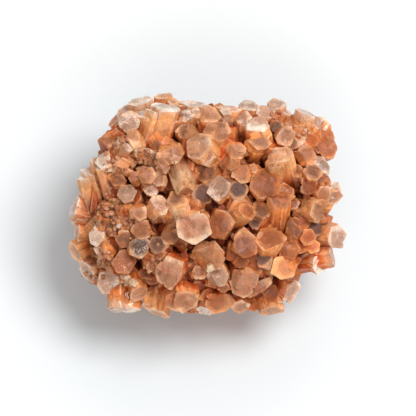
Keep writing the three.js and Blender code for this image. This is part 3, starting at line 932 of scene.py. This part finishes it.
def makeScatterTree():
    # Small prisms that stand on a surface where a mask is high, each told where its own cap is
    tree, given = newGroup("scatterCrystals", "GeometryNodeTree", [
        ("Geometry", "Geometry"),
        ("Mask Name", "String", "shelter"),
        ("Mask Low", "Float", 0.3),
        ("Mask High", "Float", 0.7),
        ("Spacing", "Float", 0.0015),
        ("Width Least", "Float", 0.0004),
        ("Width Most", "Float", 0.0009),
        ("Length Least", "Float", 0.0008),
        ("Length Most", "Float", 0.0018),
        ("Stray", "Float", 0.5),
        ("Centre", "Vector", (0, 0, 0.0218)),
        ("Dark Tone", "Color", (0.3, 0.06, 0.02, 1)),
        ("Pale Tone", "Color", (0.6, 0.25, 0.1, 1)),
        ("Frosting", "Float", 0.2),
        ("Seed", "Int", 1),
        ("Material", "Material"),
    ], [("Geometry", "Geometry")])

    def add(*values):
        return vectorMaths(tree, "ADD", *values)

    def randomValue(least, most, offset, kind="FLOAT"):
        first, output = (0, 0) if kind == "FLOAT_VECTOR" else (2, 1)  # where that kind's sockets are
        seed = maths(tree, "ADD", given["Seed"], float(offset))
        limits = {first: least, first + 1: most, "Seed": seed}
        return addNode(tree, "FunctionNodeRandomValue", limits, data_type=kind).outputs[output]

    def readStored(name, kind):
        made = addNode(tree, "GeometryNodeInputNamedAttribute", {"Name": name}, data_type=kind)
        return made.outputs["Attribute"]

    share = addNode(tree, "ShaderNodeMapRange", {
        "Value": readStored(given["Mask Name"], "FLOAT"),
        "From Min": given["Mask Low"], "From Max": given["Mask High"]}).outputs["Result"]
    spots = addNode(tree, "GeometryNodeDistributePointsOnFaces", {
        "Mesh": given["Geometry"], "Distance Min": given["Spacing"], "Density Max": smallPrism["density"],
        "Density Factor": share, "Seed": given["Seed"]}, distribute_method="POISSON")
    place = tree.nodes.new("GeometryNodeInputPosition").outputs[0]
    outward = vectorMaths(tree, "NORMALIZE", vectorMaths(tree, "SUBTRACT", place, given["Centre"]))
    stray = lengthened(tree, randomValue((-1, -1, -1), (1, 1, 1), 1, "FLOAT_VECTOR"), given["Stray"])
    axis = vectorMaths(tree, "NORMALIZE", add(add(spots.outputs["Normal"], outward), stray))
    width = randomValue(given["Width Least"], given["Width Most"], 2)
    length = randomValue(given["Length Least"], given["Length Most"], 3)
    luck = randomValue(0.0, 1.0, 4)
    tone = blendColour(tree, luck, given["Dark Tone"], given["Pale Tone"])

    # everything is stored while the points are still points
    points = spots.outputs["Points"]
    marks = (
        ("axisDir", "FLOAT_VECTOR", axis),
        ("capCentre", "FLOAT_VECTOR", add(place, lengthened(tree, axis, length))),
        ("capSize", "FLOAT", width),
        ("middleTone", "FLOAT_COLOR", tone),
        ("rimTone", "FLOAT_COLOR", blendColour(tree, 0.5, tone, given["Pale Tone"])),
        ("sideTone", "FLOAT_COLOR", blendColour(tree, 0.5, tone, given["Dark Tone"])),
        ("frostAndHighlight", "FLOAT", given["Frosting"]),
        ("luck", "FLOAT", luck),
        ("smallLength", "FLOAT", length),
    )
    for name, kind, value in marks:
        holder = addNode(tree, "GeometryNodeStoreNamedAttribute", {
            "Geometry": points, "Name": name, "Value": value}, data_type=kind, domain="POINT")
        points = holder.outputs["Geometry"]

    prism = addNode(tree, "GeometryNodeMeshCone", {
        "Vertices": 6, "Radius Top": smallPrism["taper"], "Radius Bottom": 1.0,
        "Depth": smallPrism["height"]}, fill_type="NGON")
    raised = addNode(tree, "GeometryNodeExtrudeMesh", {
        "Mesh": prism.outputs["Mesh"], "Selection": prism.outputs["Top"],
        "Offset Scale": smallPrism["capRise"], "Individual": False})
    capped = addNode(tree, "GeometryNodeScaleElements", {
        "Geometry": raised.outputs["Mesh"], "Selection": raised.outputs["Top"],
        "Scale": smallPrism["capShare"]})
    sunk = addNode(tree, "GeometryNodeTransform", {
        "Geometry": capped.outputs["Geometry"], "Translation": (0, 0, -smallPrism["sunk"])})
    aligned = addNode(tree, "FunctionNodeAlignRotationToVector", {
        "Vector": readStored("axisDir", "FLOAT_VECTOR")}, axis="Z")
    spin = addNode(tree, "FunctionNodeAxisAngleToRotation", {
        "Axis": (0, 0, 1), "Angle": randomValue(0.0, 6.283, 5)})  # up to a whole turn
    turned = addNode(tree, "FunctionNodeRotateRotation", {
        "Rotation": aligned.outputs[0], "Rotate By": spin.outputs[0]}, rotation_space="LOCAL")
    wide = readStored("capSize", "FLOAT")
    size = addNode(tree, "ShaderNodeCombineXYZ", {
        "X": wide, "Y": maths(tree, "MULTIPLY", wide, randomValue(*smallPrism["flatness"], 6)),
        "Z": readStored("smallLength", "FLOAT")})
    planted = addNode(tree, "GeometryNodeInstanceOnPoints", {
        "Points": points, "Instance": sunk.outputs["Geometry"],
        "Rotation": turned.outputs[0], "Scale": size.outputs[0]})
    real = addNode(tree, "GeometryNodeRealizeInstances", {"Geometry": planted.outputs[0]})
    flat = addNode(tree, "GeometryNodeSetShadeSmooth", {"Geometry": real.outputs[0], "Shade Smooth": False})
    painted = addNode(tree, "GeometryNodeSetMaterial", {
        "Geometry": flat.outputs[0], "Material": given["Material"]})
    return finishGroup(tree, {"Geometry": painted.outputs[0]})


def scatterOn(ground, tree, name, values):
    holder = bpy.data.objects.new(name, ground.data.copy())
    bpy.context.scene.collection.objects.link(holder)
    modifier = holder.modifiers.new("scatter", "NODES")
    modifier.node_group = tree
    for socket in tree.interface.items_tree:
        if socket.name in values:
            modifier[socket.identifier] = values[socket.name]
    mesh = bpy.data.meshes.new_from_object(holder.evaluated_get(bpy.context.evaluated_depsgraph_get()))
    for vert in mesh.vertices:
        vert.co.z = max(vert.co.z, 0)  # nothing reaches under the floor
    holder.modifiers.remove(modifier)
    holder.data = mesh
    mesh.name = name
    print(name + ":", len(mesh.polygons), "faces")
    return holder


# Short crystals deep between the large ones
gapCrystals = {
    "Mask Name": "shelter", "Mask Low": 0.3, "Mask High": 0.8,
    "Spacing": 0.0024, "Width Least": 0.0006, "Width Most": 0.0014,
    "Length Least": 0.0005, "Length Most": 0.0013, "Stray": 1.2,
    "Dark Tone": linearColour((120, 44, 14)), "Pale Tone": linearColour((168, 82, 36)),
    "Frosting": 0.1, "Seed": 3,
}
# Granular crust where the growth is broken
crustGrains = {
    "Mask Name": "crust", "Mask Low": 0.15, "Mask High": 1.0,
    "Spacing": 0.001, "Width Least": 0.0003, "Width Most": 0.0008,
    "Length Least": 0.0002, "Length Most": 0.0008, "Stray": 1.2,
    "Dark Tone": linearColour((156, 80, 46)), "Pale Tone": linearColour((208, 144, 108)),
    "Frosting": 0.4, "Seed": 8,
}

# Pale crumbs of matrix that cling to the best side: x, y, width in millimetres
crumbs = [
    (-19.8, -17.0, 1.9),
    (-18.6, -17.8, 1.7),
    (-17.4, -18.7, 2.0),
    (-19.2, -18.7, 1.2),
    (0.8, -15.0, 1.7),
    (9.8, -23.9, 1.0),
    (-16.9, 12.6, 0.9),
    (-12.3, 8.6, 0.8),
    (-7.4, 9.8, 0.8),
]
crumbShape = {
    "dropFrom": 60,  # millimetres out from the centre
    "proud": 0.15,  # of the width
    "lumps": 0.5,
    "coarse": 1400,
    "fine": 4200,
    "darkTone": (198, 160, 124),
    "paleTone": (232, 206, 172),
}


def makeCrumbs(ground):
    bpy.context.view_layer.update()
    towards = leanTurn.to_3x3() @ Vector((0, 0, 1))
    bm = bmesh.new()
    for x, y, width in crumbs:
        start = toWorld @ Vector((x, y, crumbShape["dropFrom"]))
        _, place, normal, _ = ground.ray_cast(start, -towards)
        made = bmesh.ops.create_icosphere(bm, subdivisions=3, radius=0.5 * width * millimetre)["verts"]
        for vert in made:
            coarse = noise.noise(vert.co * crumbShape["coarse"] + Vector((x, y, 0)))
            fine = noise.noise(vert.co * crumbShape["fine"] + Vector((y, x, 0)))
            lump = 1 + crumbShape["lumps"] * coarse + crumbShape["lumps"] * fine
            vert.co = place + normal * crumbShape["proud"] * width * millimetre + vert.co * lump
    mesh = bpy.data.meshes.new("creamCrumbs")
    bm.to_mesh(mesh)
    bm.free()
    material = bpy.data.materials.new("creamMatrix")
    material.use_nodes = True
    tree = material.node_tree
    shader = tree.nodes["Principled BSDF"]
    grain = addNode(tree, "ShaderNodeGroup", node_tree=bpy.data.node_groups["mineralGrain"])
    tree.links.new(tree.nodes.new("ShaderNodeTexCoord").outputs["Object"], grain.inputs["Place"])
    dark, pale = (linearColour(crumbShape[name]) for name in ("darkTone", "paleTone"))
    bump = addNode(tree, "ShaderNodeBump", {
        "Height": grain.outputs["Height"], "Strength": 0.6, "Distance": 0.0003})
    tree.links.new(blendColour(tree, grain.outputs["Mask"], dark, pale), shader.inputs["Base Color"])
    tree.links.new(bump.outputs[0], shader.inputs["Normal"])
    shader.inputs["Roughness"].default_value = 0.8
    mesh.materials.append(material)
    piece = bpy.data.objects.new("creamCrumbs", mesh)
    bpy.context.scene.collection.objects.link(piece)
    return piece


# Tiny pale crystals in patches on the large ones
drusyGrains = {
    "Mask Name": "drusy", "Mask Low": 0.1, "Mask High": 1.0,
    "Spacing": 0.0009, "Width Least": 0.0002, "Width Most": 0.0006,
    "Length Least": 0.00003, "Length Most": 0.00012, "Stray": 0.4,
    "Dark Tone": linearColour((184, 114, 74)), "Pale Tone": linearColour((214, 156, 114)),
    "Frosting": 0.4, "Seed": 5,
}

aragonite = {
    # painted shade: the colour that darkens points lying deep in the gaps
    "gapShadeTone": (128, 46, 16),
    "streakTone": (172, 76, 26),
    # painted glow near the caps, also the colour of the pale streaks on the sides
    "paleAndGlowTone": (246, 176, 112),
    "frostAndHighlightTone": (248, 230, 214),
    "crustTone": (216, 162, 130),
    "sideRun": 5.5,  # millimetres from the painted glow at the cap to deep at the foot
    "streakScale": 1500.0,
    "streaks": 0.6,
    "dentScale": 800.0,
    "stain": 0.45,  # of the side's colour, in patches on the cap
    # how strongly the painted shade darkens the gaps
    "gapShadeStrength": 0.75,
    "crustShow": 0.25,
    "brightness": 0.81,
    "luckSpread": 0.24,  # from crystal to crystal
    "mottle": 1.35,
    "saturation": 0.985,
    "roughness": (0.28, 0.58),
    "facetTilt": 0.7,
    "facetTone": 0.3,
    "translucency": 0.5,
    "bump": 0.6,
    "bumpDepth": 0.0004,
}
crustLook = aragonite | {"translucency": 0.3, "roughness": (0.45, 0.75), "bump": 0.4}


def makeAragonite(name, groups, look):
    material = bpy.data.materials.new(name)
    material.use_nodes = True
    tree = material.node_tree
    tree.nodes.clear()

    def plus(first, second):
        return maths(tree, "ADD", first, second)

    def less(first, second):
        return maths(tree, "SUBTRACT", first, second)

    def times(first, second):
        return maths(tree, "MULTIPLY", first, second)

    def eased(value, low, high):
        return ramp(tree, value, low, high)

    def mixed(share, first, second):
        return blendColour(tree, share, first, second)

    objectPlace = tree.nodes.new("ShaderNodeTexCoord").outputs["Object"]
    place, grain, facets = (addNode(tree, "ShaderNodeGroup", node_tree=group) for group in groups)
    tree.links.new(objectPlace, grain.inputs["Place"])
    tree.links.new(objectPlace, facets.inputs["Place"])
    facets.inputs["Tilt"].default_value = look["facetTilt"]
    streaks = addNode(tree, "ShaderNodeTexNoise", {
        "Vector": place.outputs["Streak Place"], "Scale": look["streakScale"],
        "Detail": 5.0, "Roughness": 0.7}).outputs["Fac"]
    dents = addNode(tree, "ShaderNodeTexNoise", {
        "Vector": objectPlace, "Scale": look["dentScale"], "Detail": 1.5, "Roughness": 0.5}).outputs["Fac"]
    underCap, capShare, onCap = (place.outputs[out] for out in ("Under Cap", "Cap Share", "On Cap"))
    mask, grainHeight, patches = (grain.outputs[out] for out in ("Mask", "Height", "Broad"))
    middleTone, rimTone, sideTone = (
        readAttribute(tree, mark, "Color") for mark in ("middleTone", "rimTone", "sideTone"))
    frostAndHighlight, edgeMark, luck, shelter, crust = (
        readAttribute(tree, mark, "Fac") for mark in ("frostAndHighlight", "edgeMark", "luck", "shelter", "crust"))
    paleAndGlowTone, frostAndHighlightTone, streakTone, gapShadeTone, crustTone = (
        linearColour(look[tone]) for tone in ("paleAndGlowTone", "frostAndHighlightTone", "streakTone", "gapShadeTone", "crustTone"))
    # the cap: dusky middle, paler rim with a painted glow at its edge, frost and painted highlights in
    # patches
    broad = less(patches, 0.5)
    wander = plus(capShare, times(broad, 1.8))
    cap = mixed(eased(wander, 0.6, 1.0), middleTone, rimTone)
    cap = mixed(times(eased(wander, 0.9, 1.2), 0.5), cap, paleAndGlowTone)
    stain = eased(less(dents, broad), 0.56, 0.72)
    cap = mixed(times(stain, times(less(1.0, frostAndHighlight), look["stain"])), cap, sideTone)
    # pale patches on the cap: partly real frost, partly painted highlights
    frostAndHighlightPatch = eased(plus(grainHeight, times(broad, 0.8)), 0.49, 0.66)
    frostAndHighlightShare = plus(0.03, maths(tree, "POWER", frostAndHighlight, 2.0))
    cap = mixed(times(frostAndHighlightPatch, frostAndHighlightShare), cap, frostAndHighlightTone)
    # the sides: a painted glow under the cap, as if light shows through, deeper towards the root, streaked
    # along the crystal
    run = look["sideRun"]
    pale = mixed(0.5, sideTone, paleAndGlowTone)
    under = plus(plus(underCap, times(less(streaks, 0.5), 3.0)), times(broad, 3.0))
    side = mixed(eased(under, 0.0, run * 0.3), mixed(0.5, rimTone, pale), pale)
    side = mixed(eased(under, run * 0.15, run * 0.6), side, sideTone)
    side = mixed(eased(under, run * 0.5, run * 1.5), side, streakTone)
    side = mixed(times(eased(streaks, 0.5, 0.64), look["streaks"]), side, paleAndGlowTone)
    side = mixed(times(eased(streaks, 0.48, 0.36), look["streaks"]), side, streakTone)
    colour = mixed(onCap, side, cap)
    # a pale rim in patches: worn, frosted edges and painted highlights where light catches the rim
    wornAndHighlitRim = times(times(plus(0.6, frostAndHighlight), eased(patches, 0.46, 0.55)), edgeMark)
    colour = mixed(wornAndHighlitRim, colour, mixed(0.5, rimTone, frostAndHighlightTone))
    # the gaps: painted shade, deep red-brown, where a point lies deep under the caps; pale grains where the
    # growth is broken
    colour = mixed(times(eased(shelter, 0.25, 1.0), look["gapShadeStrength"]), colour, gapShadeTone)
    colour = mixed(times(times(crust, mask), look["crustShow"]), colour, crustTone)
    mottle = times(less(grainHeight, 0.5), look["mottle"])
    facetTone = times(less(facets.outputs["Tone"], 0.5), look["facetTone"])
    mottle = plus(plus(mottle, facetTone), times(broad, 0.35))
    brightness = plus(plus(look["brightness"], times(luck, look["luckSpread"])), mottle)
    toned = addNode(tree, "ShaderNodeHueSaturation", {
        "Color": colour, "Value": brightness, "Saturation": look["saturation"]}).outputs[0]
    # worn and streaked surface
    grained = times(grainHeight, plus(0.5, crust))
    streaked = times(times(streaks, less(1.0, onCap)), 0.9)
    height = plus(plus(grained, streaked), times(dents, 0.8))
    broken = addNode(tree, "ShaderNodeBump", {
        "Height": facets.outputs["Height"], "Strength": 1.0, "Distance": 1.0})
    bump = addNode(tree, "ShaderNodeBump", {
        "Height": height, "Strength": look["bump"], "Distance": look["bumpDepth"],
        "Normal": broken.outputs[0]})
    smoothest, roughest = look["roughness"]
    roughness = addNode(tree, "ShaderNodeMapRange", {
        "Value": mask, "To Min": smoothest, "To Max": roughest}).outputs[0]
    glint = plus(times(frostAndHighlight, 0.9), times(edgeMark, 0.5))
    glint = plus(0.05, times(eased(dents, 0.5, 0.6), glint))
    surface = addNode(tree, "ShaderNodeBsdfPrincipled", {
        "Base Color": toned,
        "Roughness": roughness,
        "Normal": bump.outputs[0],
        "IOR": 1.55,
        "Subsurface Weight": look["translucency"],
        "Subsurface Radius": (1.0, 0.42, 0.22),
        "Subsurface Scale": 0.0013,
        "Specular IOR Level": 0.2,
        "Coat Weight": glint,
        "Coat Roughness": 0.12,
    })
    addNode(tree, "ShaderNodeOutputMaterial", {"Surface": surface.outputs[0]})
    return material


def makeCluster(material):
    mesh = uniteCrystals()
    markDepths(mesh)
    roughen(mesh)
    mesh.name = "aragoniteCluster"
    mesh.materials.clear()
    mesh.materials.append(material)
    piece = bpy.data.objects.new("aragoniteCluster", mesh)
    bpy.context.scene.collection.objects.link(piece)
    return piece


studio = {
    "cameraDistance": 1.4,
    "frameWidth": 0.09984,  # seen across at the cluster
    "viewCentre": (0.24, -0.84, 0),  # millimetres, in the best side's frame
    "floorSize": 3.0,
    "sensorWidth": 36,
    # the floor near the cluster is painted darker and cooler: painted shade around it, and a cool tint
    # against the warm light bounced off the crystals
    "floorNearShade": (0.775, 0.825, 0.845, 1),
    "floorFar": (0.885, 0.89, 0.89, 1),
    "floorFade": (0.03, 0.075),  # metres from the middle over which the painted shade fades out
    "skyStrength": 0.36,
    "lights": {  # direction, size across, power, each a metre away
        "keyLight": ((0.39, 0.06, 1.0), 0.5, 7.5),
        "frontLight": ((-0.1, -1.0, 0.8), 0.8, 2.6),
        "backLight": ((0.1, 1.0, 0.7), 0.8, 1.3),
    },
}


def makeStudio():
    scene = bpy.context.scene
    towards = leanTurn.to_3x3() @ Vector((0, 0, 1))
    target = toWorld @ Vector(studio["viewCentre"])
    camera = bpy.data.objects.new("camera", bpy.data.cameras.new("camera"))
    camera.data.sensor_width = studio["sensorWidth"]
    camera.data.lens = studio["sensorWidth"] * studio["cameraDistance"] / studio["frameWidth"]
    camera.data.clip_end = 20
    camera.matrix_world = Matrix.Translation(target + towards * studio["cameraDistance"]) @ leanTurn
    scene.collection.objects.link(camera)
    scene.camera = camera
    makeFloor(scene)
    for name, (direction, across, power) in studio["lights"].items():
        lamp = bpy.data.lights.new(name, "AREA")
        lamp.shape = "DISK"
        lamp.size = across
        lamp.energy = power
        holder = bpy.data.objects.new(name, lamp)
        facing = Vector(direction).to_track_quat("Z", "Y").to_matrix().to_4x4()
        holder.matrix_world = Matrix.Translation(Vector(direction).normalized()) @ facing
        scene.collection.objects.link(holder)
    world = bpy.data.worlds.new("studio")
    world.use_nodes = True
    sky = world.node_tree.nodes["Background"].inputs
    sky["Color"].default_value = (1, 1, 1, 1)
    sky["Strength"].default_value = studio["skyStrength"]
    scene.world = world
    scene.view_settings.view_transform = "Standard"
    scene.view_settings.look = "None"


def makeFloor(scene):
    size = studio["floorSize"]
    mesh = bpy.data.meshes.new("floor")
    corners = [(-size, -size, 0), (size, -size, 0), (size, size, 0), (-size, size, 0)]
    mesh.from_pydata(corners, [], [(0, 1, 2, 3)])
    floor = bpy.data.objects.new("floor", mesh)
    scene.collection.objects.link(floor)
    paper = bpy.data.materials.new("whitePaper")
    paper.use_nodes = True
    tree = paper.node_tree
    shader = tree.nodes["Principled BSDF"]
    fromMiddle = vectorMaths(tree, "LENGTH", tree.nodes.new("ShaderNodeTexCoord").outputs["Object"])
    away = ramp(tree, fromMiddle, *studio["floorFade"])
    shade = blendColour(tree, away, studio["floorNearShade"], studio["floorFar"])
    tree.links.new(shade, shader.inputs["Base Color"])
    shader.inputs["Roughness"].default_value = 0.9
    shader.inputs["Specular IOR Level"].default_value = 0.1
    mesh.materials.append(paper)


makeStudio()
print("studio ready")
groups = (makeCrystalPlaceGroup(), makeGrainGroup(), makeFacetGroup())
crystalMaterial = makeAragonite("aragoniteCrystal", groups, aragonite)
crustMaterial = makeAragonite("aragoniteCrust", groups, crustLook)
clusterPiece = makeCluster(crystalMaterial)
scatterTree = makeScatterTree()
pieces = [clusterPiece]
scattered = (
    ("gapCrystals", gapCrystals, crystalMaterial),
    ("crustGrains", crustGrains, crustMaterial),
    ("drusyGrains", drusyGrains, crustMaterial),
)
for name, values, material in scattered:
    pieces.append(scatterOn(clusterPiece, scatterTree, name, values | {"Material": material}))
pieces.append(makeCrumbs(clusterPiece))
print("pieces made:", len(pieces))

for piece in pieces:
    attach(piece, "root")
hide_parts("crystal_cluster")
